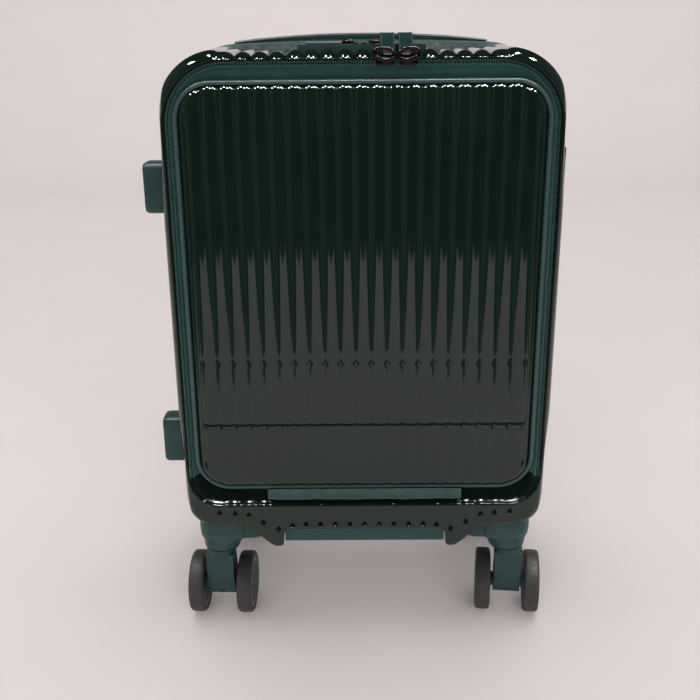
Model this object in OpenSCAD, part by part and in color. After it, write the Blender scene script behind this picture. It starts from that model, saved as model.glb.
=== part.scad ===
/* [Case] */
// Width of the two shells, left wall to right wall
case_w = 330; // [300:5:360]
// Depth over the ribs, front face to back face
case_d = 235; // [225:5:245]
// Height of the top wall above the floor
case_top = 535; // [500:5:560]
// Height of the underside between the legs
belly_z = 115; // [112:1:118]
// Wall thickness of the moulded shells
wall = 2; // [1.6:0.1:2.4]
// Radius of the two upper corners, seen from the front
corner_top_r = 52; // [48:1:56]
// Radius of the two lower corners, seen from the front
corner_low_r = 27; // [22:1:32]
// Rounding from the front and back faces into the walls
edge_r = 14; // [13:1:15]
// Width of the gap between the two halves, closed by the main zip
zip_gap = 12; // [10:1:16]

/* [Ribs] */
// Distance from one rib to the next
rib_pitch = 13.4; // [12:0.2:15]
// Height of a rib over the valley beside it
rib_h = 2.7; // [2:0.1:3]
// Number of ribs across the back and the door
rib_count = 21; // [17:2:21]

/* [Door] */
// Width of the front door panel
door_w = 294; // [280:1:296]
// Height of the door's lower edge above the floor
door_z0 = 160; // [158:1:164]
// Height of the door's upper edge above the floor
door_z1 = 508; // [470:1:510]
// Corner radius of the door panel
door_r = 27; // [20:1:32]
// Width of the rubber bead round the door panel
bead_w = 4.5; // [3.5:0.1:5]

/* [Wheels] */
// Wheel diameter
wheel_d = 60; // [58:1:62]
// Width over the two wheels of one caster
twin_w = 61; // [60:1:64]
// Width of one tyre
tyre_w = 14.2; // [13:0.1:15]
// Distance of each swivel axis from the middle plane
caster_x = 139.5; // [138:0.5:143]
// Distance of each swivel axis from mid depth
caster_y = 76; // [72:1:78]
// Distance from the swivel axis back to the wheel axle
trail = 10; // [8:1:12]
// Direction each caster points: front left, front right, rear left, rear right
caster_turn = [-2.5, -6.4, 4, -3];

/* [Handles] */
// Distance of each telescopic tube from the middle plane
tube_x = 92; // [86:1:96]
// Length of each telescopic outer tube
tube_len = 388; // [350:1:388]
// Height that the top handle stands over the top wall at its middle
arch_h = 9; // [8:0.5:14]
// Length of the side handle
side_handle_len = 124; // [110:2:130]
// How far the side feet stand out from the left wall
side_reach = 20; // [18:0.5:22]
// How far the side handle stands out from the right wall
handle_reach = 24.5; // [22:0.5:26]

/* [Hidden] */
$fn = 96;

gloss = "#16291f";
teal = "#25484a";
fabric = "#244c4a";
strap = "#42685c";
gunmetal = "#2b2622";
alloy = "#b9bcbd";
rubber = "#3a3937";
steel = "#9a9da0";
lining = "#3c4242";

// The shells without their ribs
half_w = case_w / 2;
base_y = case_d / 2 - rib_h;
leg_x = 84;
leg_r = 9;
leg_z = belly_z - 18.8;
belly_x = 104;
corner_z = belly_z + 4;
rib_r = ((rib_pitch / 2) ^ 2 + rib_h ^ 2) / (2 * rib_h);
part_y = zip_gap / 2;
nip = 0.4;
clear = 0.4;
hair = 0.05;

// The door opening, the ledge under it and the door's tapes
open_x = half_w - 6.1;
open_z0 = door_z0 - 19;
open_z1 = case_top - 8;
open_r = 50;
open_low_r = 30;
coil_x = open_x - 3.3;
tape_y = base_y - 7.4;
tape_t = 1.2;
pan_y = tape_y - 0.4;

// The lock, set into the front shell's top wall
lock_x0 = -51;
lock_x1 = 50;
lock_y = -90;
lock_w = 20;
lock_top = case_top + 2.5;
dial_x = [-5.2, 1.4, 8];
dial_r = 7;
dial_z = lock_top - dial_r + 1.2;
pull_x = [20.3, 34.4];
pull_w = 12;
pull_axis_y = -92.8;
pull_axis_z = case_top - 22;
slider_z = open_z1 - 4.8;

// The telescopic handle
tube_y = 99;
tube_top = 513;
grip_floor = 515;
grip_top = case_top + 3.5;
bore_t = 1;
slack = 0.3;

// The casters
dome_z = wheel_d + 18;
dome_r = 17.5;
stem_r = 5;
axle_r = 3;
axle_z = wheel_d / 2;
fork_w = 25.6;
housing_z = 96;
stem_len = 34;
foot_z = [[168, 212], [401, 444]];
handle_y = 36;
side_handle_y = 22.5;
side_strip_y = 19;
side_guide_y = 8.2;
side_handle_z = 380;
foot_y = 70;
foot_half = 12;
screw_hole_r = 1.8;
screw_r = 1.7;
screw_head_r = 3.4;
hub_r = 22;
swivel_clear = 0.5;
middle_z = 325;
strap_tilt = 52;
strap_len = 380;
strap_w = 25;
groove_z = [221.5, 280];
grip_half = 109;
bar_half = 73;
flap_half = 92;
hinge_z = [190, 460];
leg_t = 4;
guide_z = case_top - 10;
guide_x = half_w - 7;
arch_span = 114;
strap_t = 4.5;

// Flat profiles pushed along one axis
module along_y(y0, y1) translate([0, y1, 0]) rotate([90, 0, 0]) linear_extrude(y1 - y0) children();
module along_x(x0, x1) translate([x0, 0, 0]) rotate([90, 0, 90]) linear_extrude(x1 - x0) children();
module box(a, b) translate(a) cube(b - a);
module mirrored() { children(); mirror([1, 0, 0]) children(); }

// Rounded rectangle with its own radius at the top and at the bottom
module upright(x, z0, z1, rt, rb) {
    translate([-x, z0 + rb]) square([2 * x, z1 - rt - z0 - rb]);
    translate([rb - x, z0]) square([2 * (x - rb), z1 - z0 - rt]);
    translate([rt - x, z0 + rb]) square([2 * (x - rt), z1 - z0 - rb]);
    for (s = [-1, 1]) {
        translate([s * (x - rt), z1 - rt]) circle(rt);
        translate([s * (x - rb), z0 + rb]) circle(rb);
    }
}

module rounded(x, y, r) {
    square([2 * x, 2 * (y - r)], center = true);
    square([2 * (x - r), 2 * y], center = true);
    for (sx = [-1, 1], sy = [-1, 1]) translate([sx * (x - r), sy * (y - r)]) circle(r);
}

// Front view of the case: body, lowered belly and the two legs
module case_outline(inset) {
    upright(half_w - inset, corner_z + inset, case_top - inset, corner_top_r - inset, corner_low_r - inset);
    translate([inset - belly_x, belly_z + inset]) square([2 * (belly_x - inset), 30]);
    for (s = [-1, 1]) translate([s * leg_x, leg_z + leg_r]) {
        circle(leg_r - inset);
        translate([inset - leg_r, 0]) square([2 * (leg_r - inset), 30]);
    }
}

// Whole case as a solid, each surface moved in by inset
module case_body(inset) {
    intersection() {
        along_y(inset - base_y, base_y - inset) case_outline(inset);
        translate([0, 0, leg_z + inset]) linear_extrude(case_top - leg_z - 2 * inset)
            rounded(half_w - inset, base_y - inset, edge_r - inset);
        along_x(inset - half_w, half_w - inset) translate([0, (case_top + leg_z) / 2])
            rounded(base_y - inset, (case_top - leg_z) / 2 - inset, edge_r - inset);
    }
}

// The part of the case between two inward offsets and two depths
module layer(out, in, y0, y1) {
    intersection() {
        difference() {
            case_body(out);
            case_body(in);
        }
        box([-half_w - 5, y0, 0], [half_w + 5, y1, case_top + 5]);
    }
}

// Row of upright ribs with their crests on the plane y = crest, side -1 faces the front
module ribs(side, z0, z1) {
    for (i = [0 : rib_count - 1])
        translate([(i - (rib_count - 1) / 2) * rib_pitch, side * (case_d / 2 - rib_r), z0])
            cylinder(r = rib_r, h = z1 - z0);
}

module screw_places(side) {
    for (sx = [-1, 1], dx = [-14, 14], dy = [-14, 14])
        translate([sx * (caster_x - 19) + dx * 0.7, side * caster_y + dy, 0]) children();
}

module door_outline(grow)
    upright(door_w / 2 + grow, door_z0 - grow, door_z1 + grow, door_r + grow, door_r + grow);
module opening_outline(shrink)
    upright(open_x - shrink, open_z0 + shrink, open_z1 - shrink, open_r - shrink, open_low_r - shrink);

// ---- rear half ----

module handle_mount_holes(grow) {
    mirrored() box([101 - grow, handle_y - 11 - grow, guide_z],
        [117 + grow, handle_y + 11 + grow, case_top + 5]);
    for (s = [-1, 1]) translate([0, 0, side_handle_z + s * (side_handle_len / 2 - 6)])
        box([guide_x, side_handle_y - side_guide_y - grow, -8 - grow],
            [half_w + 5, side_handle_y + side_guide_y + grow, 8 + grow]);
}

module bezel_block(grow)
    box([-122 - grow, 86 - grow, 500 - grow], [122 + grow, 112 + grow, case_top + 5]);

// Hollow half of the case with its ribs, facing the back
module ribbed_half() {
    difference() {
        intersection() {
            union() {
                case_body(0);
                intersection() {
                    case_body(-rib_h - 0.3);
                    ribs(1, corner_z, case_top);
                }
            }
            box([-half_w - 5, part_y, 0], [half_w + 5, case_d / 2 + 5, case_top + 5]);
        }
        case_body(wall);
    }
}

module rear_shell() color(gloss) {
    difference() {
        ribbed_half();
        handle_mount_holes(hair);
        bezel_block(hair);
        translate([0, 0, corner_z - 5]) screw_places(1) cylinder(r = screw_hole_r, h = 12);
    }
}

module zip_tape(side) {
    lo = side < 0 ? -part_y - 8 : nip;
    hi = side < 0 ? -nip : part_y + 8;
    bead_lo = side < 0 ? -3 : nip;
    bead_hi = side < 0 ? -nip : 3;
    layer(wall + hair, wall + 1.3, lo, hi);
    layer(wall - 0.8, wall + hair, bead_lo, bead_hi);
}

module rear_zip_tape() color(fabric) zip_tape(1);

// Fabric pan that covers the tubes and the inside of the rear shell
module rear_lining() color(lining) {
    difference() {
        intersection() {
            case_body(wall + 1.8);
            box([-half_w, 16, 0], [half_w, 85, case_top]);
        }
        intersection() {
            case_body(wall + 2.8);
            box([-half_w, 15, 0], [half_w, 84, case_top]);
        }
        mirrored() box([98, handle_y - 14, 490], [120, handle_y + 14, case_top]);
        for (s = [-1, 1]) translate([0, 0, side_handle_z + s * (side_handle_len / 2 - 6)])
            box([140, 15, -11], [half_w, side_handle_y + side_guide_y + 2.5, 11]);
        translate([0, 0, corner_z - 5]) screw_places(1) cylinder(r = 5, h = 12);
    }
}

// Two crossed straps with the buckle where they meet
module packing_straps() color(strap) {
    for (s = [-1, 1]) translate([0, 21.2, middle_z]) rotate([0, s * strap_tilt, 0])
        translate([0, s * 0.8, 0]) cube([strap_len, 1.4, strap_w], center = true);
    along_y(17, 20.2) translate([0, middle_z]) rounded(26, 19, 5);
}

module handle_bezel() color(teal) {
    difference() {
        intersection() {
            bezel_block(0);
            case_body(-2);
        }
        box([-110, 88.5, grip_floor], [110, 109.5, case_top + 5]);
        mirrored() translate([tube_x, tube_y, 495]) linear_extrude(40) rounded(12.1, 7.6, 4.1);
    }
}

module tube(half_x, half_y, r, z0, z1) {
    mirrored() translate([tube_x, tube_y, z0]) linear_extrude(z1 - z0) difference() {
        rounded(half_x, half_y, r);
        rounded(half_x - bore_t, half_y - bore_t, r - bore_t);
    }
}

module outer_tubes() color(alloy) {
    tube(12, 7.5, 4, tube_top - tube_len, tube_top);
    mirrored() difference() {
        box([tube_x - 15, tube_y - 10.5, tube_top - tube_len - 3],
            [belly_x - wall - 0.5, tube_y + 13.2, tube_top - tube_len + 14]);
        translate([tube_x, tube_y, tube_top - tube_len]) linear_extrude(40) rounded(12, 7.5, 4);
    }
}

module bottom_bar(side) {
    difference() {
        along_x(-bar_half, bar_half) translate([side * 101, 110.2]) rounded(11, 9.5, 3);
        case_body(-hair);
    }
}

module rear_bottom_bar() color(teal) bottom_bar(1);

// Two feet on the left wall that the case lies on when it is turned on its side
module side_feet(side) {
    for (z = foot_z) difference() {
        intersection() {
            along_y(side * foot_y - foot_half, side * foot_y + foot_half)
                translate([-half_w - side_reach / 2 + 4, (z[0] + z[1]) / 2])
                    rounded(side_reach / 2 + 4, (z[1] - z[0]) / 2, 5);
            translate([-half_w - side_reach / 2 + 4, side * foot_y, z[0]]) linear_extrude(z[1] - z[0])
                rounded(side_reach / 2 + 4, foot_half, 4);
        }
        case_body(-hair);
    }
}

module rear_side_feet() color(teal) side_feet(1);

module screws(side) {
    screw_places(side) {
        translate([0, 0, corner_z + wall + hair]) cylinder(r = screw_head_r, h = 1.6);
        translate([0, 0, corner_z - 12]) cylinder(r = screw_r, h = 12 + wall + 2 * hair);
    }
}

module rear_screws() color(steel) screws(1);

// Guides for the ends of the top handle and of the side handle
module handle_mounts() color(teal) {
    mirrored() difference() {
        box([101, handle_y - 11, guide_z], [117, handle_y + 11, case_top + 0.5]);
        box([111 - leg_t - clear, handle_y - 7 - clear, 500],
            [111 + clear, handle_y + 7 + clear, case_top + 5]);
    }
    for (s = [-1, 1]) translate([0, 0, side_handle_z + s * (side_handle_len / 2 - 6)]) difference() {
        box([guide_x, side_handle_y - side_guide_y, -8], [half_w + 2, side_handle_y + side_guide_y, 8]);
        box([140, side_handle_y - 6 - clear, -leg_t / 2 - clear],
            [half_w + 5, side_handle_y + 6 + clear, leg_t / 2 + clear]);
    }
}

module main_hinge_tape() color(fabric)
    box([wall + 1.9 - half_w, -13.5, hinge_z[0]], [wall + 2.9 - half_w, 13.5, hinge_z[1]]);

// ---- front half ----

module lock_block(grow)
    box([lock_x0 - grow, lock_y - lock_w / 2 - grow, case_top - 18],
        [lock_x1 + grow, lock_y + lock_w / 2 + grow, case_top + 5]);

module front_shell() color(gloss) {
    difference() {
        mirror([0, 1, 0]) ribbed_half();
        along_y(-case_d, -base_y + 12) opening_outline(0);
        lock_block(hair);
        translate([0, 0, corner_z - 5]) screw_places(-1) cylinder(r = screw_hole_r, h = 12);
    }
    // Sloping ledge from the lip back to the foot of the door
    along_x(-146, 146) polygon([
        [-base_y + 0.5, open_z0 - 4], [-base_y + wall + 0.5, open_z0 - 4],
        [-base_y + 13, open_z0 + 12.5], [-base_y + 11.4, open_z0 + 14], [-base_y + 0.5, open_z0 + 0.6]
    ]);
}

module front_zip_tape() color(fabric) zip_tape(-1);

// Half of the door's zip that is sewn to the front shell, with its row of teeth
module door_zip_tape() color(fabric) {
    difference() {
        union() {
            along_y(-tape_y, tape_t - tape_y) opening_outline(hair);
            along_y(-tape_y - 1, -tape_y + 0.1) opening_outline(open_x - coil_x - 2);
        }
        along_y(-case_d, 0) opening_outline(open_x - coil_x - 0.3);
        box([-half_w, -case_d, 0], [half_w, 0, door_z0 + 4]);
    }
}

// Fabric pan with the board that divides the door's pocket from the main space
module front_lining() color(lining) {
    difference() {
        intersection() {
            case_body(wall + 1.8);
            box([-half_w, -58, 0], [half_w, -16, case_top]);
        }
        intersection() {
            case_body(wall + 2.8);
            box([-half_w, -56, 0], [half_w, -15, case_top]);
        }
        translate([0, 0, corner_z - 5]) screw_places(-1) cylinder(r = 5, h = 12);
    }
}

module lock_housing() color(teal) {
    difference() {
        box([lock_x0, lock_y - lock_w / 2, case_top - 16], [lock_x1, lock_y + lock_w / 2, lock_top]);
        for (x = dial_x) translate([x - 2.9, lock_y, dial_z]) rotate([0, 90, 0])
            cylinder(r = dial_r + 0.5, h = 5.8);
        translate([-20, lock_y, dial_z]) rotate([0, 90, 0]) cylinder(r = 1.5, h = 45);
        box([-45, lock_y - 5, lock_top - 3], [-9, lock_y + 5, lock_top + 1]);
        box([13.6, lock_y - 7, lock_top - 4], [41.4, lock_y + 7, lock_top + 1]);
        translate([46, lock_y, lock_top - 5]) cylinder(r = 2.6, h = 6);
    }
    // Spindle that the dials turn on, and the key barrel
    translate([-19, lock_y, dial_z]) rotate([0, 90, 0]) cylinder(r = 1.5 - hair, h = 33);
    translate([46, lock_y, lock_top - 4.5]) cylinder(r = 2.5, h = 4);
}

module front_bottom_bar() color(teal) bottom_bar(-1);
module front_side_feet() color(teal) side_feet(-1);
module front_screws() color(steel) screws(-1);

// Woven strip over the ledge that the door hangs on
module door_hinge_flap() color(fabric)
    box([-flap_half, -base_y - 2.9, open_z0 + 2.5], [flap_half, -base_y - 1.7, door_z0 - 3.6]);

// ---- door ----

module door_panel() color(gloss) {
    difference() {
        union() {
            along_y(-base_y, -pan_y) door_outline(0);
            intersection() {
                along_y(-case_d / 2 - 1, -base_y + 1) door_outline(-3);
                ribs(-1, door_z0, door_z1);
            }
        }
        along_y(-base_y + wall, 0) door_outline(-wall);
        for (z = groove_z)
            box([-half_w, -case_d, z - 1.2], [half_w, -base_y - rib_h + 1.2, z + 1.2]);
    }
}

module door_bead() color(teal) {
    along_y(-base_y + 1.5, -pan_y) difference() {
        door_outline(bead_w);
        door_outline(hair);
    }
}

// Half of the door's zip that is sewn round the panel, with its row of teeth
module door_gusset() color(fabric) {
    difference() {
        union() {
            along_y(-tape_y, tape_t - tape_y) opening_outline(open_x - coil_x + 0.3);
            along_y(-tape_y - 1, -tape_y + 0.1) opening_outline(open_x - coil_x + 0.3);
        }
        along_y(-case_d, -tape_y) opening_outline(open_x - coil_x + 2);
        along_y(-case_d, 0) door_outline(bead_w + hair);
        box([-half_w, -case_d, 0], [half_w, 0, door_z0 + 4]);
    }
}

module door_lining() color(lining)
    along_y(-base_y + 5, -base_y + 10) door_outline(-8);

// ---- lock and zip pulls ----

module lock_button() color(teal)
    along_x(-44, -16) translate([lock_y, lock_top]) rounded(4.4, 2.5, 2);

module lock_dial(i) color(gunmetal)
    translate([dial_x[i] - 2.5, lock_y, dial_z]) rotate([0, 90, 0]) difference() {
        cylinder(r = dial_r, h = 5);
        translate([0, 0, -1]) cylinder(r = 1.5, h = 7);
    }

module lock_dial_1() lock_dial(0);
module lock_dial_2() lock_dial(1);
module lock_dial_3() lock_dial(2);

// Zip slider on the door's top run, with the stub that its pull hangs on
module door_slider(i) color(gunmetal) translate([pull_x[i], 0, slider_z]) {
    along_y(-tape_y - 7.2, -tape_y - 1.5) rounded(6.4, 4.4, 2);
    along_y(-tape_y - 11.4, -tape_y - 7) rounded(3, 1.2, 0.8);
}

module door_slider_left() door_slider(0);
module door_slider_right() door_slider(1);

// Strap pull that curves over the top edge towards the lock
module door_puller(i) color(strap)
    along_x(pull_x[i] - pull_w / 2, pull_x[i] + pull_w / 2)
        translate([pull_axis_y, pull_axis_z]) intersection() {
            difference() {
                circle(30.6);
                circle(28.8);
            }
            polygon([[0, 0], [-60, 22], [-60, 60], [6, 60]]);
        }

module door_puller_left() door_puller(0);
module door_puller_right() door_puller(1);

module main_slider(x) color(gunmetal) {
    translate([x, 0, case_top - wall + 1.3]) linear_extrude(3.2) rounded(7, 5.2, 2);
    along_y(-1.6, 1.6) translate([x, case_top + 2.4]) rounded(5, 1, 0.8);
}

module main_slider_left() main_slider(-12);
module main_slider_right() main_slider(12);

// ---- telescopic handle ----

module middle_tubes() color(alloy)
    tube(12 - bore_t - slack, 7.5 - bore_t - slack, 4 - bore_t, tube_top - tube_len + 6, tube_top);

module inner_tubes() color(alloy)
    tube(12 - 2 * bore_t - 2 * slack, 7.5 - 2 * bore_t - 2 * slack, 2.4,
        tube_top - tube_len + 8, tube_top + 9);

module pull_grip() color(teal) {
    difference() {
        along_y(89.5, 108.5) translate([0, (grip_floor + 1 + grip_top) / 2])
            rounded(grip_half, (grip_top - grip_floor - 1) / 2, 6);
        mirrored() translate([tube_x, tube_y, grip_floor - 5]) linear_extrude(12.1) rounded(9.5, 5, 2.4);
        box([-17, 94, grip_top - 9], [17, 104, grip_top + 1]);
    }
}

module grip_button() color(teal)
    along_x(-16.5, 16.5) translate([tube_y, grip_top - 2]) rounded(4.5, 3.2, 2);

// ---- carry handles ----

// Arched strap, thinner towards its ends, with two legs that run down through the guides
module top_handle() color(teal) {
    crown = case_top + arch_h;
    rise = arch_h - 2.8;
    inner_crown = crown - strap_t;
    inner_rise = inner_crown - case_top - 0.9;
    intersection() {
        translate([0, handle_y + 10, 0]) rotate([90, 0, 0]) difference() {
            arch_disc(crown, rise, 20);
            translate([0, 0, -1]) arch_disc(inner_crown, inner_rise, 22);
        }
        box([-arch_span, 0, case_top], [arch_span, 100, crown + 1]);
    }
    mirrored() {
        box([111 - leg_t, handle_y - 7, guide_z - 15], [111, handle_y + 7, crown - rise - 0.7]);
        box([104, handle_y - 7, guide_z - 16], [114, handle_y + 7, guide_z - 13]);
    }
}

// Disc whose top passes through z and falls by rise at the ends of the handle
module arch_disc(z, rise, h) {
    r = (arch_span ^ 2 + rise ^ 2) / (2 * rise);
    translate([0, z - r, 0]) cylinder(r = r, h = h, $fn = 360);
}

module side_handle() color(teal) {
    strip_x = half_w + handle_reach - 2.2;
    translate([strip_x, side_strip_y, side_handle_z - side_handle_len / 2]) linear_extrude(side_handle_len)
        rounded(2.2, 9.5, 2);
    for (s = [-1, 1]) translate([0, side_handle_y, side_handle_z + s * (side_handle_len / 2 - 6)]) {
        box([guide_x - 10, -6, -leg_t / 2], [strip_x, 6, leg_t / 2]);
        box([guide_x - 11, -6, -6], [guide_x - 8.6, 6, 6]);
    }
}

// ---- casters ----

function caster_at(i) = [(i % 2 == 0 ? -1 : 1) * caster_x, (i < 2 ? -1 : 1) * caster_y, 0];

// Corner moulding that fills the space under the shell and ends in a round boss
module caster_housing(i) color(teal) {
    p = caster_at(i);
    s = sign(p[0]);
    difference() {
        union() {
            hull() {
                translate([p[0] - 6.5 * s, p[1], housing_z + 4]) linear_extrude(44)
                    rounded(22, 28, 9, $fn = 32);
                translate([p[0] - 3 * s, p[1], dome_z]) cylinder(r = dome_r - 1.5, h = 12, $fn = 32);
                translate([p[0] - 3 * s, p[1], dome_z + 3]) cylinder(r = dome_r, h = 9, $fn = 32);
            }
            translate([s * 116.5, p[1], housing_z]) linear_extrude(40) rounded(22, 22, 6);
        }
        case_body(-hair);
        translate([p[0], p[1], dome_z - 1]) cylinder(r = stem_r + hair, h = stem_len + 2);
        screw_places(sign(p[1])) translate([0, 0, corner_z - 13]) cylinder(r = screw_hole_r, h = 20);
    }
}

module caster_housing_front_left() caster_housing(0);
module caster_housing_front_right() caster_housing(1);
module caster_housing_rear_left() caster_housing(2);
module caster_housing_rear_right() caster_housing(3);

// Everything of a caster that turns about its swivel axis
module on_caster(i) translate(caster_at(i)) rotate([0, 0, caster_turn[i]]) children();

// Neck, lipped head and body of a fork; the body narrows down to the axle boss
module fork(i) color(teal) on_caster(i) difference() {
    union() {
        cylinder_at(stem_r, dome_z - 5, dome_z + stem_len);
        cylinder_at(13, dome_z - 8, dome_z - swivel_clear);
        along_x(-fork_w / 2 - 0.8, fork_w / 2 + 0.8) translate([1, dome_z - 9.5]) rounded(9.5, 2.2, 1.5);
        along_x(-fork_w / 2, fork_w / 2) {
            translate([trail, axle_z]) circle(11.5);
            polygon([
                [-8, 50], [-8, dome_z - 9], [12, dome_z - 9],
                [trail + 11.3, axle_z + 1], [trail, axle_z - 2], [-1.2, axle_z - 2.5]
            ]);
        }
    }
    along_x(-30, 30) translate([trail, axle_z]) circle(axle_r + 0.02);
    box([-2.2, -15, 0], [2.2, 4, axle_z - 3]);
}

module cylinder_at(r, z0, z1) translate([0, 0, z0]) cylinder(r = r, h = z1 - z0);

module axle(i) color(steel) on_caster(i)
    along_x(-twin_w / 2 + 3, twin_w / 2 - 3) translate([trail, axle_z]) circle(axle_r);

// Hub and tyre of one wheel, side -1 is the left one of the pair
module wheel(i, side) on_caster(i) translate([0, trail, axle_z]) rotate([0, side * 90, 0]) {
    outer = twin_w / 2;
    inner = outer - tyre_w;
    color(rubber) rotate_extrude() difference() {
        translate([15, (inner + outer) / 2]) rounded(wheel_d / 2 - 15, tyre_w / 2, 3.2);
        square([hub_r, outer + 1]);
    }
    color(teal) difference() {
        union() {
            cylinder_at(hub_r - hair, inner + 2.5, outer - 1.2);
            cylinder_at(7, fork_w / 2 + 0.5, inner + 3);
        }
        cylinder_at(axle_r + hair, 0, outer - 2.5);
    }
}

module fork_front_left() fork(0);
module fork_front_right() fork(1);
module fork_rear_left() fork(2);
module fork_rear_right() fork(3);
module axle_front_left() axle(0);
module axle_front_right() axle(1);
module axle_rear_left() axle(2);
module axle_rear_right() axle(3);
module wheel_front_left_outer() wheel(0, -1);
module wheel_front_left_inner() wheel(0, 1);
module wheel_front_right_inner() wheel(1, -1);
module wheel_front_right_outer() wheel(1, 1);
module wheel_rear_left_outer() wheel(2, -1);
module wheel_rear_left_inner() wheel(2, 1);
module wheel_rear_right_inner() wheel(3, -1);
module wheel_rear_right_outer() wheel(3, 1);

rear_shell();
rear_zip_tape();
rear_lining();
packing_straps();
handle_bezel();
outer_tubes();
rear_bottom_bar();
rear_side_feet();
rear_screws();
handle_mounts();
main_hinge_tape();
caster_housing_rear_left();
caster_housing_rear_right();
front_shell();
front_zip_tape();
door_zip_tape();
front_lining();
lock_housing();
front_bottom_bar();
front_side_feet();
front_screws();
door_hinge_flap();
caster_housing_front_left();
caster_housing_front_right();
door_panel();
door_bead();
door_gusset();
door_lining();
lock_button();
lock_dial_1();
lock_dial_2();
lock_dial_3();
door_slider_left();
door_slider_right();
door_puller_left();
door_puller_right();
main_slider_left();
main_slider_right();
middle_tubes();
inner_tubes();
pull_grip();
grip_button();
top_handle();
side_handle();
fork_front_left();
fork_front_right();
fork_rear_left();
fork_rear_right();
axle_front_left();
axle_front_right();
axle_rear_left();
axle_rear_right();
wheel_front_left_outer();
wheel_front_left_inner();
wheel_front_right_inner();
wheel_front_right_outer();
wheel_rear_left_outer();
wheel_rear_left_inner();
wheel_rear_right_inner();
wheel_rear_right_outer();
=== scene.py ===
import math

import bmesh
import bpy
from mathutils import Matrix, Vector


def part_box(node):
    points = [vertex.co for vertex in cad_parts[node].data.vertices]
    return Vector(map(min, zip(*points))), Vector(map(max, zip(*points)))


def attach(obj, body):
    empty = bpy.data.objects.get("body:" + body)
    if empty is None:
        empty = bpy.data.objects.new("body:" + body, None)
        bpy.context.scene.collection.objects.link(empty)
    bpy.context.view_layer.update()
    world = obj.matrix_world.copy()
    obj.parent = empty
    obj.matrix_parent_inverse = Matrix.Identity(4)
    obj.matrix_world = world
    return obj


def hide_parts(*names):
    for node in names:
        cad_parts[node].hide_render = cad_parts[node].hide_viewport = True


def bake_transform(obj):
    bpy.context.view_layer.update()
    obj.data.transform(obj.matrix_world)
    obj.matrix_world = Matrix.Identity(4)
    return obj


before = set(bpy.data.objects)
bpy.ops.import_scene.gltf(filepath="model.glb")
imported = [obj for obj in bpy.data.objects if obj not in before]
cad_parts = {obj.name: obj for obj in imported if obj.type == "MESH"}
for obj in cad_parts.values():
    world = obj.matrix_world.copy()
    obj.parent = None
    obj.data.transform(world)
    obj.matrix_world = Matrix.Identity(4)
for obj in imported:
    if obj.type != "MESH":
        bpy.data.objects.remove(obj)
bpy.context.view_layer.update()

MM = 0.001


def box_mm(node):
    lo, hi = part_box(node)
    return [c / MM for c in lo], [c / MM for c in hi]


# Sizes in millimetres, taken from the CAD nodes where a node holds them
shell_lo, shell_hi = box_mm("rear_shell")
door_lo, door_hi = box_mm("door_panel")
HALF_W, TOP_Z, PART_Y = shell_hi[0], shell_hi[2], shell_lo[1]
RIB_H, RIB_PITCH, RIB_COUNT = 2.7, 13.4, 21
RIB_R = ((RIB_PITCH / 2) ** 2 + RIB_H ** 2) / (2 * RIB_H)
BASE_Y = shell_hi[1] - RIB_H
LEG_Z = shell_lo[2]
BELLY_Z = LEG_Z + 18.2
EDGE_R, LOW_EDGE_R, CORNER_R, LOW_R = 14.0, 4.0, 52.0, 27.0
LOW_C = (HALF_W - LOW_R, LEG_Z + 49.8)
TOP_C = (HALF_W - CORNER_R, TOP_Z - CORNER_R)
OPEN = (HALF_W - 6.1, 141.0, TOP_Z - 8, 50.0, 30.0)
LEDGE = (HALF_W - 6.4, 155.5, TOP_Z - 8.3, 49.7, 44.0)
TAPE_Y = BASE_Y - 7.4
DOOR = (door_hi[0], door_lo[2], door_hi[2], 27.0, 27.0)
BEAD_W = 4.5


def smooth(t):
    t = min(max(t, 0.0), 1.0)
    return t * t * (3 - 2 * t)


def mix(a, b, t):
    return a + (b - a) * t


def curve_at(knots, x):
    """Smooth curve through (x, y) knots, flat at its peaks."""
    if x <= knots[0][0]:
        return knots[0][1]
    for k in range(len(knots) - 1):
        (x0, y0), (x1, y1) = knots[k], knots[k + 1]
        if x <= x1:
            before = knots[max(k - 1, 0)]
            after = knots[min(k + 2, len(knots) - 1)]
            s = (y1 - y0) / (x1 - x0)
            s0 = (y0 - before[1]) / (x0 - before[0]) if k > 0 else s
            s1 = (after[1] - y1) / (after[0] - x1) if k + 2 < len(knots) else 0.0
            m0 = 0.0 if s * s0 <= 0 else 2 * s * s0 / (s + s0)
            m1 = 0.0 if s * s1 <= 0 else 2 * s * s1 / (s + s1)
            h, t = x1 - x0, (x - x0) / (x1 - x0)
            return ((1 + 2 * t) * (1 - t) ** 2 * y0 + t * (1 - t) ** 2 * h * m0
                    + t * t * (3 - 2 * t) * y1 + t * t * (t - 1) * h * m1)
    return knots[-1][1]


# ---- meshes ----

def grid(rows, closed=False, flip=False):
    """Quads between rows of points; closed joins the last point of a row to its first."""
    n = len(rows[0])
    verts = [p for row in rows for p in row]
    faces = []
    for r in range(len(rows) - 1):
        for c in range(n if closed else n - 1):
            d = (c + 1) % n
            q = (r * n + c, r * n + d, (r + 1) * n + d, (r + 1) * n + c)
            faces.append(q[::-1] if flip else q)
    return verts, faces


def loft(rings):
    """Closed rings joined into one body, with flat ends."""
    verts, faces = grid(rings, closed=True)
    n = len(rings[0])
    faces.append(tuple(range(n))[::-1])
    faces.append(tuple((len(rings) - 1) * n + k for k in range(n)))
    return verts, faces


def shift(x, y, z):
    return Matrix.Translation((x, y, z))


def spin(angle, axis="Z"):
    return Matrix.Rotation(angle, 4, axis)


def placed(part, matrix):
    verts, faces = part
    return [tuple(matrix @ Vector(v)) for v in verts], faces


def joined(parts):
    verts, faces = [], []
    for v, f in parts:
        base = len(verts)
        verts += v
        faces += [tuple(i + base for i in q) for q in f]
    return verts, faces


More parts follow.
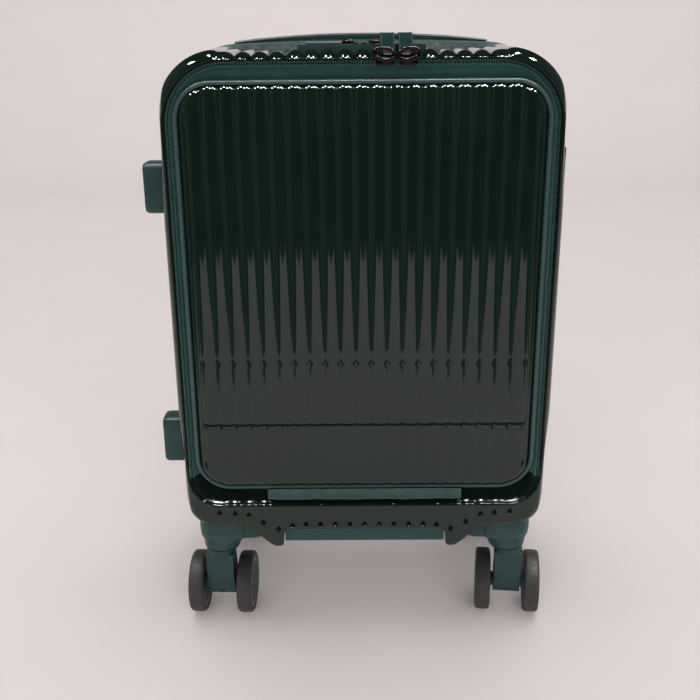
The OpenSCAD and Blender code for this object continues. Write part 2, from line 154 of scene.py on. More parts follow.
def rounded_ring(hx, hy, r, n=6):
    """Points of a rounded rectangle round the origin, anticlockwise."""
    pts = []
    for k, (sx, sy) in enumerate(((1, 1), (-1, 1), (-1, -1), (1, -1))):
        for j in range(n + 1):
            a = math.pi / 2 * (k + j / n)
            pts.append((sx * (hx - r) + r * math.cos(a), sy * (hy - r) + r * math.sin(a)))
    return pts


def circle(n):
    return [(math.cos(2 * math.pi * k / n), math.sin(2 * math.pi * k / n)) for k in range(n)]


def super_ring(cx, cy, hx, hy, power, z):
    """Ring between an ellipse and a rounded rectangle; z may depend on x."""
    pts = []
    for c, s in circle(48):
        g = (abs(c) ** power + abs(s) ** power) ** (-1 / power)
        x, y = cx + hx * g * c, cy + hy * g * s
        pts.append((x, y, z(x) if callable(z) else z))
    return pts


def lathe(profile, n=48):
    """Profile of (radius, height) turned round the z axis."""
    return loft([[(r * c, r * s, z) for c, s in circle(n)] for r, z in profile])


def sweep(path, section, closed=False):
    """Section of (side, up) pushed along a path of (point, side vector, up vector)."""
    rows = [[tuple(p + s * a + u * b) for a, b in section] for p, s, u in path]
    if closed:
        verts, faces = grid(rows + [rows[0]], closed=True)
        return verts, faces
    return loft(rows)


def block(hx, hy, r, z0, z1, b=0.5):
    """Rounded rectangular block with rounded edges, standing on z0."""
    soft = b * 0.3
    rings = []
    for z, i in ((z0, b), (z0 + soft, soft), (z0 + b, 0), (z1 - b, 0), (z1 - soft, soft), (z1, b)):
        rings.append([(x, y, z) for x, y in rounded_ring(hx - i, hy - i, max(r - i, 0.2))])
    return loft(rings)


def facing(x, y, z, turn=0.0):
    """Frame whose z axis points to the front of the case and whose y axis points up."""
    return Matrix(((1, 0, 0, x), (0, 0, -1, y), (0, 1, 0, z), (0, 0, 0, 1))) @ spin(turn)


def bail(a, b, r):
    """Closed oval loop of round wire lying in the xy plane."""
    path = [(Vector((a * c, b * s, 0)), Vector((b * c, a * s, 0)).normalized(), Vector((0, 0, 1)))
            for c, s in circle(36)]
    return sweep(path, [(r * c, r * s) for c, s in circle(8)], closed=True)


BOW_TOP, BOW_LOW = 2.1, 2.2


def barrel(part):
    """The walls bow out at mid height: above and below it they are drawn in."""
    out = []
    for x, y, z in part[0]:
        pull = BOW_TOP * smooth((z - 400) / 80) + BOW_LOW * smooth((235 - z) / 60) * smooth((z - 110) / 30)
        out.append((x - math.copysign(pull * smooth((abs(x) - 157) / 7), x), y, z))
    return out, part[1]


def run_length(path):
    return sum(math.dist(a[:2], b[:2]) for a, b in zip(path, path[1:]))


def corner(x, cx, s_z, cz, r, t):
    """Point and inward direction at angle t of a corner arc on the side of x."""
    s_x, c, s = math.copysign(1, x), math.cos(t), math.sin(t)
    return (s_x * (cx + r * c), cz + s_z * r * s), (-s_x * c, -s_z * s)


def outline_path(outline, step):
    """Points (x, z, nx, nz) round an upright rounded rectangle, starting at the top middle, clockwise."""
    hx, z0, z1, rt, rb = outline
    segs = [("line", (0, z1), (hx - rt, z1), (0, 1)), ("arc", (hx - rt, z1 - rt), rt, 90),
            ("line", (hx, z1 - rt), (hx, z0 + rb), (1, 0)), ("arc", (hx - rb, z0 + rb), rb, 0),
            ("line", (hx - rb, z0), (rb - hx, z0), (0, -1)), ("arc", (rb - hx, z0 + rb), rb, -90),
            ("line", (-hx, z0 + rb), (-hx, z1 - rt), (-1, 0)), ("arc", (rt - hx, z1 - rt), rt, 180),
            ("line", (rt - hx, z1), (0, z1), (0, 1))]
    pts = []
    for kind, a, b, c in segs:
        if kind == "line":
            n = max(1, round(math.dist(a, b) / step))
            pts += [(mix(a[0], b[0], k / n), mix(a[1], b[1], k / n), c[0], c[1]) for k in range(n)]
        else:
            n = max(2, round(math.pi / 2 * b / step))
            for k in range(n):
                t = math.radians(c - 90 * k / n)
                pts.append((a[0] + b * math.cos(t), a[1] + b * math.sin(t), math.cos(t), math.sin(t)))
    return pts


def outline_distance(x, z, outline):
    hx, z0, z1, rt, rb = outline
    x = abs(x)
    r, dz = (rt, z - (z1 - rt)) if z > (z0 + z1) / 2 else (rb, z0 + rb - z)
    dx = x - (hx - r)
    return min(max(dx, dz), 0) + math.hypot(max(dx, 0), max(dz, 0)) - r


def outline_nearest(x, z, outline):
    hx, z0, z1, rt, rb = outline
    sx, x = (1 if x >= 0 else -1), abs(x)
    top = z > (z0 + z1) / 2
    r, zc, s = (rt, z1 - rt, 1) if top else (rb, z0 + rb, -1)
    dx, dz = x - (hx - r), (z - zc) * s
    if dx > 0 and dz > 0:
        d = math.hypot(dx, dz)
        return sx * (hx - r + dx / d * r), zc + s * dz / d * r
    return (sx * hx, z) if dx >= dz else (sx * x, zc + s * r)


def piece(name, parts, body, stands_for=(), angle=50, solid=0.0, ride=True):
    """One object from (part, material) pairs in millimetres."""
    mesh = bpy.data.meshes.new(name)
    verts, faces, index, mats = [], [], [], []
    for part, mat in parts:
        if mat not in mats:
            mats.append(mat)
        base = len(verts)
        verts += [(x * MM, y * MM, z * MM) for x, y, z in part[0]]
        faces += [tuple(i + base for i in q) for q in part[1]]
        index += [mats.index(mat)] * len(part[1])
    mesh.from_pydata(verts, [], faces)
    for m in mats:
        mesh.materials.append(m)
    mesh.polygons.foreach_set("material_index", index)
    bm = bmesh.new()
    bm.from_mesh(mesh)
    bmesh.ops.remove_doubles(bm, verts=bm.verts, dist=2e-6)
    bmesh.ops.dissolve_degenerate(bm, edges=bm.edges, dist=1e-6)
    bmesh.ops.recalc_face_normals(bm, faces=bm.faces)
    bm.to_mesh(mesh)
    bm.free()
    mesh.shade_smooth()
    mesh.set_sharp_from_angle(angle=math.radians(angle))
    obj = bpy.data.objects.new(name, mesh)
    bpy.context.scene.collection.objects.link(obj)
    if solid:
        m = obj.modifiers.new("thickness", "SOLIDIFY")
        m.thickness, m.offset = solid * MM, -1
    if ride:
        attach(obj, body)
    if stands_for:
        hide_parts(*stands_for)
    return obj


# ---- materials ----

def linear(*rgb):
    """Display colour, 0 to 255, as the shader's linear values."""
    return tuple(c / 12.92 if c <= 0.04045 else ((c + 0.055) / 1.055) ** 2.4
                 for c in (v / 255 for v in rgb))


def material(name, rgb, rough, metal=0.0, vary=0.1, patch=30.0, grain=0.0, grain_size=0.4, weave=0.0,
             thread=0.5, sheen=0.0, scuff=0.15, stripes=None, spec=0.5):
    """Node material: colour patches, uneven roughness, and a bump of grain, weave or brushed lines.

    patch, grain_size and thread are sizes, grain and weave are bump depths, all in millimetres."""
    mat = bpy.data.materials.new(name)
    mat.use_nodes = True
    nt = mat.node_tree
    nodes, links = nt.nodes, nt.links
    bsdf = nodes["Principled BSDF"]
    bsdf.inputs["Metallic"].default_value = metal
    bsdf.inputs["Sheen Weight"].default_value = sheen
    bsdf.inputs["Sheen Roughness"].default_value = 0.4
    bsdf.inputs["Specular IOR Level"].default_value = spec
    place = nodes.new("ShaderNodeTexCoord").outputs["Object"]

    def noise_node(size_mm, detail):
        n = nodes.new("ShaderNodeTexNoise")
        n.inputs["Scale"].default_value = 1000 / size_mm
        n.inputs["Detail"].default_value = detail
        links.new(place, n.inputs["Vector"])
        return n.outputs["Fac"]

    def along(direction):
        dot = nodes.new("ShaderNodeVectorMath")
        dot.operation = "DOT_PRODUCT"
        dot.inputs[1].default_value = direction
        links.new(place, dot.inputs[0])
        return dot.outputs["Value"]

    def ramp(fac, a, b, lo=0.3, hi=0.7):
        r = nodes.new("ShaderNodeMapRange")
        r.inputs["From Min"].default_value, r.inputs["From Max"].default_value = lo, hi
        r.inputs["To Min"].default_value, r.inputs["To Max"].default_value = a, b
        links.new(fac, r.inputs["Value"])
        return r.outputs["Result"]

    base = linear(*rgb)
    tint = nodes.new("ShaderNodeMix")
    tint.data_type = "RGBA"
    tint.inputs[6].default_value = (*[c * (1 - vary) for c in base], 1)
    tint.inputs[7].default_value = (*[c * (1 + vary) for c in base], 1)
    links.new(ramp(noise_node(patch, 5), 0, 1), tint.inputs[0])
    colour = tint.outputs[2]
    uneven = ramp(noise_node(patch * 0.6 + 1, 6), rough * (1 - scuff), rough * (1 + scuff))
    links.new(uneven, bsdf.inputs["Roughness"])

    heights = []
    if weave:
        waves = []
        for vec in ((1, 1, 0), (0, 1, 1)):
            sine = nodes.new("ShaderNodeMath")
            sine.operation = "SINE"
            links.new(along([c * 2000 * math.pi / thread for c in vec]), sine.inputs[0])
            waves.append(sine.outputs[0])
        cross = nodes.new("ShaderNodeMath")
        cross.operation = "MULTIPLY"
        links.new(waves[0], cross.inputs[0])
        links.new(waves[1], cross.inputs[1])
        heights.append((cross.outputs[0], weave))
        shade = nodes.new("ShaderNodeMix")
        shade.data_type = "RGBA"
        shade.blend_type = "MULTIPLY"
        shade.inputs[7].default_value = (0.62, 0.66, 0.66, 1)
        links.new(ramp(cross.outputs[0], 0.8, 0.0, -0.6, 0.5), shade.inputs[0])
        links.new(colour, shade.inputs[6])
        colour = shade.outputs[2]
    if stripes:
        lines = nodes.new("ShaderNodeTexNoise")
        lines.noise_dimensions = "1D"
        lines.inputs["Detail"].default_value = 8
        lines.inputs["Scale"].default_value = 6
        links.new(along([c * 1000 for c in stripes]), lines.inputs["W"])
        heights.append((lines.outputs["Fac"], 0.03))
    if grain:
        heights.append((noise_node(grain_size, 3), grain))
    links.new(colour, bsdf.inputs["Base Color"])
    normal = None
    for height, depth in heights:
        bump = nodes.new("ShaderNodeBump")
        bump.inputs["Strength"].default_value = 1.0
        bump.inputs["Distance"].default_value = depth * MM
        links.new(height, bump.inputs["Height"])
        if normal:
            links.new(normal, bump.inputs["Normal"])
        normal = bump.outputs["Normal"]
    if normal:
        links.new(normal, bsdf.inputs["Normal"])
    return mat


GLOSS = material("gloss_shell", (13, 33, 25), 0.06, vary=0.12, patch=45, grain=0.003, grain_size=9, scuff=0.3)
GRAIN_GLOSS = material("grained_ledge", (9, 24, 18), 0.16, vary=0.25, patch=4, grain=0.05, grain_size=1.3)
# Dimple colour: near-black painted shade for the shade inside the small triangular dimples.
DIMPLE_SHADE = material("dimple_painted_shade", (3, 8, 7), 0.55, vary=0.2, patch=4, grain=0.01, grain_size=0.8, spec=0.2)
TEAL = material("teal_plastic", (37, 72, 70), 0.42, vary=0.07, patch=25, grain=0.02, grain_size=0.35,
                spec=0.35)
TEAL_DARK = material("teal_shadow_plastic", (25, 44, 44), 0.5, vary=0.1, patch=8, grain=0.02, grain_size=0.35)
BEAD = material("bead_rubber", (52, 84, 81), 0.38, vary=0.08, patch=30, grain=0.015, grain_size=0.5)
FABRIC = material("zip_fabric", (34, 80, 75), 0.85, vary=0.12, patch=12, weave=0.08, thread=0.7, sheen=0.35)
# Zip tape colour: the tape's own teal darkened with painted shade for the shade under the shell's lip and
# between the teeth.
ZIP_TAPE_SHADE = material("zip_tape_fabric_painted_shade", (18, 48, 45), 0.9, vary=0.1, patch=8, weave=0.06, thread=0.6, sheen=0.1)
TEETH = material("zip_teeth", (88, 134, 126), 0.35, vary=0.15, patch=3, grain=0.02, grain_size=0.2)
STRAP = material("strap_fabric", (24, 66, 62), 0.95, vary=0.1, patch=8, weave=0.1, thread=0.9, spec=0.05)
EDGE = material("strap_edge", (56, 92, 87), 0.85, vary=0.1, patch=4, weave=0.05, thread=0.5, spec=0.1)
LINING = material("lining_fabric", (66, 74, 74), 0.9, vary=0.08, patch=22, weave=0.06, thread=0.6, sheen=0.3)
ALLOY = material("aluminium", (176, 180, 182), 0.32, metal=1.0, vary=0.04, stripes=(1.7, 2.3, 0.02))
GUNMETAL = material("gunmetal", (40, 34, 33), 0.22, metal=0.8, vary=0.25, patch=3, grain=0.02, grain_size=0.6,
                    scuff=0.4)
STEEL = material("steel", (150, 153, 156), 0.3, metal=1.0, vary=0.08, patch=5, grain=0.01, grain_size=0.5)
TYRE = material("tyre", (60, 58, 58), 0.62, vary=0.12, patch=6, grain=0.04, grain_size=0.5, scuff=0.2)
HUB = material("hub_plastic", (58, 90, 91), 0.45, vary=0.1, patch=6, grain=0.02, grain_size=0.3)
# Dark plastic for the wheel caps and the buckle; the same colour is painted shade in the thin ring under each
# caster boss.
DARK_PLASTIC_AND_SHADE = material("dark_plastic_and_painted_shade", (26, 26, 27), 0.5, vary=0.15, patch=5, grain=0.02, grain_size=0.4)
FLOOR = material("studio_floor", (214, 208, 208), 0.55, vary=0.012, patch=240, scuff=0.1, spec=0.25)


def dress(node, mat, bevel=0.6):
    """Keeps a CAD node and gives it rounded edges and a finish."""
    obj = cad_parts[node]
    if not obj.data.materials:
        obj.data.materials.append(mat)
    for k in range(len(obj.data.materials)):
        obj.data.materials[k] = mat
    weld = obj.modifiers.new("weld", "WELD")
    weld.merge_threshold = 2e-5
    if bevel:
        m = obj.modifiers.new("edges", "BEVEL")
        m.width, m.segments, m.limit_method, m.angle_limit = bevel * MM, 2, "ANGLE", math.radians(40)
    m = obj.modifiers.new("normals", "WEIGHTED_NORMAL")
    m.keep_sharp = False


# ---- the two shells ----

BOTTOM = [(74.4, 98.6), (75.8, 96.9), (78.0, 96.2), (82.0, 96.4), (85.2, 98.0), (90, 102.0), (95.3, 106.8),
          (100.7, 112.4), (107.6, 116.2), (120, 118.2), (138, LOW_C[1] - LOW_R)]

LEG_X, LEG_R = 68.4, 5.4


def bottom_z(x):
    """Lower edge of the shell, seen from the front."""
    x = abs(x)
    if x <= LEG_X:
        return BELLY_Z
    if x <= LEG_X + LEG_R:
        return BELLY_Z - LEG_R + math.sqrt(max(0.0, LEG_R ** 2 - (x - LEG_X) ** 2))
    if x <= BOTTOM[0][0]:
        return mix(BELLY_Z - LEG_R, BOTTOM[0][1], (x - LEG_X - LEG_R) / (BOTTOM[0][0] - LEG_X - LEG_R))
    if x <= LOW_C[0]:
        return curve_at(BOTTOM, x)
    return LOW_C[1] - math.sqrt(max(0.0, LOW_R ** 2 - (x - LOW_C[0]) ** 2))


def rib(x):
    """Height of the ribs over the valley floor at x."""
    if abs(x) >= RIB_COUNT * RIB_PITCH / 2 - 1e-6:
        return 0.0
    dx = x - RIB_PITCH * round(x / RIB_PITCH)
    return math.sqrt(RIB_R ** 2 - dx * dx) - (RIB_R - RIB_H)


CORNER_COLUMNS = (141.8, 143.5, 145.2, 146.6, 147.8, 149.0, 149.9, 150.5)


def columns(limit, fine_from, per_rib):
    """Column positions, with one in each valley, closer together near the edge."""
    step = RIB_PITCH / per_rib
    last = RIB_COUNT * per_rib // 2
    xs = [k * step for k in range(-last, last + 1) if abs(k * step) < limit - 1.0]
    extra = [x for x in (fine_from + 0.7, *CORNER_COLUMNS) if max(abs(v) for v in xs) < x < limit - 0.2]
    xs += extra + [-x for x in extra] + [limit, -limit]
    return sorted(set(round(x, 4) for x in xs))


def shell_stations(rows, per_rib=10):
    """Places round the case outline: edge point, inward direction, edge radius, rib column, kind."""
    face_x = TOP_C[0] + CORNER_R - EDGE_R
    xs = columns(face_x, LOW_C[0], per_rib)
    out = []
    for x in xs:
        a = abs(x)
        if a <= TOP_C[0]:
            out.append(((x, TOP_Z), (0, -1), EDGE_R, x, "top"))
            continue
        t = math.acos(min(1.0, (a - TOP_C[0]) / (CORNER_R - EDGE_R)))
        out.append((*corner(x, TOP_C[0], 1, TOP_C[1], CORNER_R, t), EDGE_R, x, "top"))
    right = [((HALF_W, z), (-1, 0), EDGE_R, face_x, "side") for z in rows[1:-1]]
    low = []
    for x in xs:
        a = abs(x)
        if a <= LOW_C[0]:
            low.append(((x, bottom_z(x)), (0, 1), LOW_EDGE_R, x, "low"))
            continue
        t = math.acos(min(1.0, (a - LOW_C[0]) / (LOW_R - EDGE_R)))
        r = mix(EDGE_R, LOW_EDGE_R, smooth(t / (math.pi / 2)))
        low.append((*corner(x, LOW_C[0], -1, LOW_C[1], LOW_R, t), r, x, "low"))
    left = [((-HALF_W, z), (1, 0), EDGE_R, -face_x, "side") for z in rows[1:-1]]
    return xs, out + right + low[::-1] + left[::-1]


TOP_FALL, VALLEY = 2.0, 1.3
FACE_STEP = 20.0


def top_share(x):
    """1 where ribs run over the top wall, 0 at the corners."""
    return 1 - smooth((abs(x) - 104) / 16)


def top_fall(x):
    """Fall of the rib crests under the case top, less in front of the lock."""
    return TOP_FALL * mix(0.25, 1.0, smooth((abs(x) - 50) / 12)) * top_share(x)


def top_drop(x):
    """How far the front half's top wall lies under the case top: ribs run over it to the zip."""
    return top_fall(x) + (RIB_H - rib(x)) * VALLEY * top_share(x)


def shell_point(st, t, side, low_rib):
    """Point of the shell's surface at step t in from its edge: 0 to 1 is the rounding, then the face."""
    (px, pz), (dx, dz), r, col, kind = st
    phi = min(t, 1.0) * math.pi / 2
    onward = max(t - 1.0, 0.0) * FACE_STEP
    if kind == "top" and side < 0:
        share, run = top_share(col), min(t, 1.0)
        low = (RIB_H - rib(col)) * mix(VALLEY, 1.0, run) * share
        inset = r * (1 - math.cos(phi)) + (top_fall(col) + low) * math.cos(phi) + onward
        depth = r * (1 - math.sin(phi)) - (RIB_H * share - low) * math.sin(phi)
        return Vector((px + dx * inset, -(BASE_Y - depth), pz + dz * inset))
    inset = r * (1 - math.cos(phi)) + onward
    depth = r * (1 - math.sin(phi))
    x, z = px + dx * inset, pz + dz * inset
    if kind == "top":
        w = smooth((math.degrees(phi) - 8) / 36)
    else:
        w = low_rib * smooth((z - bottom_z(col) - 6) / 9)
    h = rib(col) * w
    x -= dx * math.cos(phi) * h
    z -= dz * math.cos(phi) * h
    return Vector((x, side * (BASE_Y - depth + math.sin(phi) * h), z))


def wall_rows(stations, side):
    """Rows of the wall from the parting edge to where the rounding begins."""
    rows = []
    runs = [(1.7, 0.0, 0), (0.5, 0.35, 0), (0.0, 1.6, 0)] + [(0.0, 1.6, k / 9) for k in range(1, 9)]
    for inset, y, t in runs:
        row = []
        for p, d, r, col, kind in stations:
            i = inset + (top_drop(col) if kind == "top" and side < 0 else 0.0)
            row.append((p[0] + d[0] * i, side * mix(PART_Y + y, BASE_Y - r, t), p[1] + d[1] * i))
        rows.append(row)
    return rows


SIDE_ROWS = [mix(TOP_C[1], LOW_C[1], k / 40) for k in range(41)]
COLS, STATIONS = shell_stations(SIDE_ROWS)


def split_ring(ring, n, m):
    """Top, right, low and left runs of a ring of stations, from left to right and from the top down."""
    return ring[:n], ring[n:n + m], ring[n + m:2 * n + m][::-1], ring[2 * n + m:][::-1]


def cut_faces(part, inside):
    """Leaves out the faces whose middle is inside."""
    verts, faces = part
    return verts, [q for q in faces
                   if not inside(*[sum(verts[i][k] for i in q) / len(q) for k in range(3)])]


# Rear shell: wall, rounding and the whole ribbed face
rows = wall_rows(STATIONS, 1)
for k in range(17):
    rows.append([tuple(shell_point(st, k / 16, 1, 1.0)) for st in STATIONS])
for k in range(1, 4):
    rows.append([tuple(shell_point(st, 1 + (EDGE_R - st[2]) / FACE_STEP * k / 3, 1, 1.0)) for st in STATIONS])
count, side_count = len(COLS), len(SIDE_ROWS) - 2
top_edge, right_edge, low_edge, left_edge = split_ring(rows[-1], count, side_count)
face = [top_edge]
for r in range(side_count):
    t = (r + 1) / (side_count + 1)
    middle = [(mix(a[0], b[0], t), BASE_Y + rib(col), mix(a[2], b[2], t))
              for a, b, col in list(zip(top_edge, low_edge, COLS))[1:-1]]
    face.append([left_edge[r]] + middle + [right_edge[r]])
face.append(low_edge)
shell = joined([grid(rows, closed=True), grid(face)])
shell = barrel(cut_faces(shell, lambda x, y, z: abs(x) < 121 and 87 < y < 111.4 and z > 500))
piece("rear_shell_skin", [(shell, GLOSS)], "rear_half", ["rear_shell"], angle=60, solid=1.8)


DIMPLE_DEPTH = 1.7
DIMPLES = [(k * RIB_PITCH, 120.6) for k in range(-4, 5)]
DIMPLES += [(s * x, z) for s in (-1, 1) for x, z in (
    (65.9, 119.6), (78.6, 116.8), (92.4, 123.6), (105.4, 131.0), (118.0, 132.4), (131.9, 133.4))]


def pit(x, z):
    """Depth of the small triangular dimples over the lower edge."""
    cx, cz = min(DIMPLES, key=lambda c: abs(x - c[0]))
    dx, dz = abs(x - cx), z - cz
    return DIMPLE_DEPTH * min(1.0, max(0.0, 3.0 - dx * 1.15 - max(dz, 0) * 0.95 - max(-dz - 1.2, 0) * 2.4))


FRONT_RIB = 0.42


def front_end(st, lip):
    """Step at which the skin reaches the lip of the opening."""
    lo, hi = 0.0, 4.0
    for _ in range(40):
        mid = (lo + hi) / 2
        p = shell_point(st, mid, -1, FRONT_RIB)
        if outline_distance(p.x, p.z, OPEN) > lip:
            lo = mid
        else:
            hi = mid
    return lo


# Front shell: a ring with a rounded lip, and the ledge that runs back under the door
FRONT_STATIONS = shell_stations(SIDE_ROWS, 20)[1]
rows = wall_rows(FRONT_STATIONS, -1)
STEPS = 44
LIP_R, LOW_LIP_R, LIP_WAVE = 1.0, 2.2, 0.7
LEDGE_Y, LOW_LEDGE_Y = -106.4, -103.2
skin = [[] for _ in range(STEPS + 1)]
lips = [[] for _ in range(5)]
ledge = [[] for _ in range(5)]
for st in FRONT_STATIONS:
    low = smooth((200 - shell_point(st, 1.0, -1, FRONT_RIB).z) / 40)
    lip = mix(LIP_R, LOW_LIP_R, low)
    end = front_end(st, lip)
    for k in range(STEPS + 1):
        p = shell_point(st, end * (k / STEPS) ** (1.0 if st[4] != "low" else 1.15), -1, FRONT_RIB)
        if st[4] == "low":
            p.y += pit(p.x, p.z)
        skin[k].append(tuple(p))
    edge = shell_point(st, end, -1, FRONT_RIB)
    tangent = (edge - shell_point(st, end - 0.01, -1, FRONT_RIB)).normalized()
    wave = LIP_WAVE * low * (rib(edge.x) / RIB_H - 0.5) if abs(edge.x) < LOW_C[0] - 10 else 0.0
    for k in range(5):
        a = math.pi / 2 * (k + 1) / 5
        p = edge + lip * (tangent * math.sin(a) + Vector((0, 1, 0)) * (1 - math.cos(a)))
        lips[k].append((p.x, p.y, p.z + wave * math.sin(a)))
    q = Vector(lips[-1][-1])
    nx, nz = outline_nearest(q.x, q.z, LEDGE)
    foot = Vector((nx, mix(LEDGE_Y, LOW_LEDGE_Y, low), nz))
    for k in range(5):
        t = (k + 1) / 5
        p = q.lerp(foot, t)
        p.y += 1.2 * low * math.sin(math.pi * t)
        ledge[k].append(tuple(p))
LOCK = box_mm("lock_housing")
outer = grid(rows + skin + lips, closed=True, flip=True)
outer = barrel(cut_faces(outer, lambda x, y, z: z > 512 and all(
    LOCK[0][k] + 0.5 < v < LOCK[1][k] - 0.5 for k, v in enumerate((x, y)))))


def in_dimple(x, y, z):
    return y < -BASE_Y + 6 and z < 140 and pit(x, z) > 0.9


skin_part = cut_faces(outer, in_dimple)
# Faces inside the dimples get the near-black painted shade.
pits = cut_faces(outer, lambda x, y, z: not in_dimple(x, y, z))
ledge_part = grid([lips[-1]] + ledge, closed=True, flip=True)
piece("front_shell_skin", [(skin_part, GLOSS), (pits, DIMPLE_SHADE), (ledge_part, GRAIN_GLOSS)],
      "front_half", ["front_shell"], angle=60, solid=1.6)

# ---- the door ----

DOOR_R = 6.0
FIELD_RIB, FOOT_RIB, FIELD_X = 0.72, 0.45, 140.0


def door_stations(zs):
    hx, z0, z1, rt, rb = DOOR
    face_x = hx - DOOR_R
    step = RIB_PITCH / 10
    xs = [k * step for k in range(-105, 106)] + [141.2, 141.6, face_x]
    xs = sorted(set(round(x, 4) for x in xs + [-x for x in xs]))
    top, low = [], []
    for s_z, zc, out in ((1, z1 - rt, top), (-1, z0 + rb, low)):
        for x in xs:
            a = abs(x)
            if a <= hx - rt:
                out.append(((x, zc + s_z * rt), (0, -s_z), x))
                continue
            t = math.acos(min(1.0, (a - (hx - rt)) / (rt - DOOR_R)))
            out.append((*corner(x, hx - rt, s_z, zc, rt, t), x))
    right = [((hx, z), (-1, 0), face_x) for z in zs]
    left = [((-hx, z), (1, 0), -face_x) for z in zs]
    return xs, top + right + low[::-1] + left[::-1]


GROOVES = ((280.0, 2.4, 0.16), (221.5, 1.7, 0.6))   # height, half width, depth
groove = [z + half * k for z, half, _ in GROOVES for k in (-1.5, -1.0, -0.6, -0.3, 0, 0.3, 0.6, 1.0, 1.5)]
levels = [z for z in [mix(470, 200, k / 30) for k in range(31)] if all(abs(z - g) > 2.5 for g in groove)]
door_zs = sorted(levels + groove + [475.0, 195.0], reverse=True)
door_xs, door_st = door_stations(door_zs)


def door_point(st, t):
    (px, pz), (dx, dz), col = st
    phi = t * math.pi / 2
    inset, depth = DOOR_R * (1 - math.cos(phi)), DOOR_R * (1 - math.sin(phi))
    low = dz > 0 and abs(col) < FIELD_X
    h = (RIB_H - (RIB_H - rib(col)) * FOOT_RIB if low else rib(col)) * smooth(math.degrees(phi) / 30)
    return (px + dx * (inset - math.cos(phi) * h * 0.6), -(BASE_Y - depth + math.sin(phi) * h),
            pz + dz * (inset - math.cos(phi) * h * 0.6))


def groove_depth(z):
    """Two level grooves: a shallow one with a flat floor and a sharper one under it."""
    (za, ha, da), (zb, hb, db) = GROOVES
    return da * (1 - smooth((abs(z - za) / ha - 0.6) / 0.9)) + db * (1 - smooth(abs(z - zb) / hb / 1.5))


rows = [[(p[0] + d[0] * 0.6, -TAPE_Y + 0.4, p[1] + d[1] * 0.6) for p, d, c in door_st],
        [(p[0], -(BASE_Y - DOOR_R) + 1.0, p[1]) for p, d, c in door_st]]
rows += [[door_point(st, k / 10) for st in door_st] for k in range(11)]
n, m = len(door_xs), len(door_zs)
top_edge, right_edge, low_edge, left_edge = split_ring(rows[-1], n, m)
face = [top_edge]
for r, z in enumerate(door_zs):
    line = []
    for c, x in enumerate(door_xs):
        if c in (0, n - 1):
            x, _, zz = (left_edge if c == 0 else right_edge)[r]
            line.append((x, -BASE_Y, zz))
            continue
        relief = mix(1.0, FIELD_RIB, smooth((top_edge[c][2] - z - 2) / 15))
        relief = mix(FOOT_RIB, relief, smooth((z - low_edge[c][2] - 8) / 55)) if abs(x) < FIELD_X else 1.0
        line.append((x, -(BASE_Y + RIB_H - (RIB_H - rib(x)) * relief - groove_depth(z)), z))
    face.append(line)
face.append(low_edge)
right_edge, left_edge = [line[-1] for line in face[1:-1]], [line[0] for line in face[1:-1]]
rows[-1] = top_edge + right_edge + low_edge[::-1] + left_edge[::-1]
piece("door_skin", [(joined([grid(rows, closed=True, flip=True), grid(face)]), GLOSS)],
      "door", ["door_panel"], angle=60, solid=1.8)

# Rubber bead round the door
UP_Y, RING_STEP = Vector((0, -1, 0)), 2.5


def ring_path(outline, y):
    """Frames of (point, outward, up) round an outline, for sweep and teeth."""
    return [(Vector((x, y, z)), Vector((nx, 0, nz)), UP_Y)
            for x, z, nx, nz in outline_path(outline, RING_STEP)]


bead_section = [(0.15, 0.2), (0.15, 4.6), (0.45, 5.9), (1.2, 6.7), (2.2, 6.95), (3.2, 6.6), (3.9, 5.6),
                (4.1, 4.2), (4.45, 3.0), (BEAD_W, 0.2)]
piece("door_bead_rubber", [(sweep(ring_path(DOOR, -TAPE_Y + 0.4), bead_section, closed=True), BEAD)],
      "door", ["door_bead"])


def tooth(long, wide, high):
    """One zip tooth: a small arched bar lying across the tape."""
    rings = []
    for k, s in enumerate((-1.0, -0.62, 0.0, 0.62, 1.0)):
        g = (0.45, 0.9, 1.0, 0.9, 0.5)[k]
        arch = [(math.cos(math.pi * j / 4), math.sin(math.pi * j / 4)) for j in range(5)]
        rings.append([(c * wide / 2 * g, s * long / 2, u * high * g) for c, u in arch])
    return loft(rings)


def teeth(path, pitch, inset, size, slant, keep):
    """A row of teeth along a closed path of (point, outward, up)."""
    shape = tooth(*size)
    parts, run, target = [], 0.0, 0.0
    for (p, s, u), (p2, s2, u2) in zip(path, path[1:] + path[:1]):
        length = (p2 - p).length
        while target <= run + length:
            t = (target - run) / max(length, 1e-9)
            target += pitch
            c, out, up = p.lerp(p2, t), s.lerp(s2, t).normalized(), u
            if not keep(c):
                continue
            along = up.cross(out)
            c = c - out * inset
            m = Matrix((along, out, up)).transposed().to_4x4()
            m.translation = c
            parts.append(placed(shape, m @ spin(slant)))
        run += length
    return joined(parts)


def run_above(outline, z_from):
    """The part of an outline above a level, from left to right over the top."""
    path = outline_path(outline, SEAM_STEP)
    start = next(k for k, p in enumerate(path) if p[1] <= z_from and p[0] > 0)
    last = max(k for k, p in enumerate(path) if p[1] <= z_from and p[0] < 0)
    return path[last + 1:] + path[:start]


SEAM_STEP, COIL, SEAM_Z = 3.0, 3.3, DOOR[1] + 4
TAPE_SECTION = ((0.1, -106.2), (0.1, -107.5), (0.5, -107.9), (1.0, -107.3), (3.1, -107.3), (3.1, -103.4),
                (0.3, -103.4))
tape_part = grid([[(x - nx * i, y, z - nz * i) for i, y in TAPE_SECTION]
                  for x, z, nx, nz in run_above(OPEN, SEAM_Z)])
UNZIPPED = 330.0
DOOR_PITCH, DOOR_TOOTH = 2.0, (2.5, 0.95, 1.5)
MAIN_PITCH, MAIN_TOOTH = 1.7, (2.4, 1.2, 1.3)
ZIP_LENGTH = run_length(outline_path(OPEN, SEAM_STEP)) - UNZIPPED


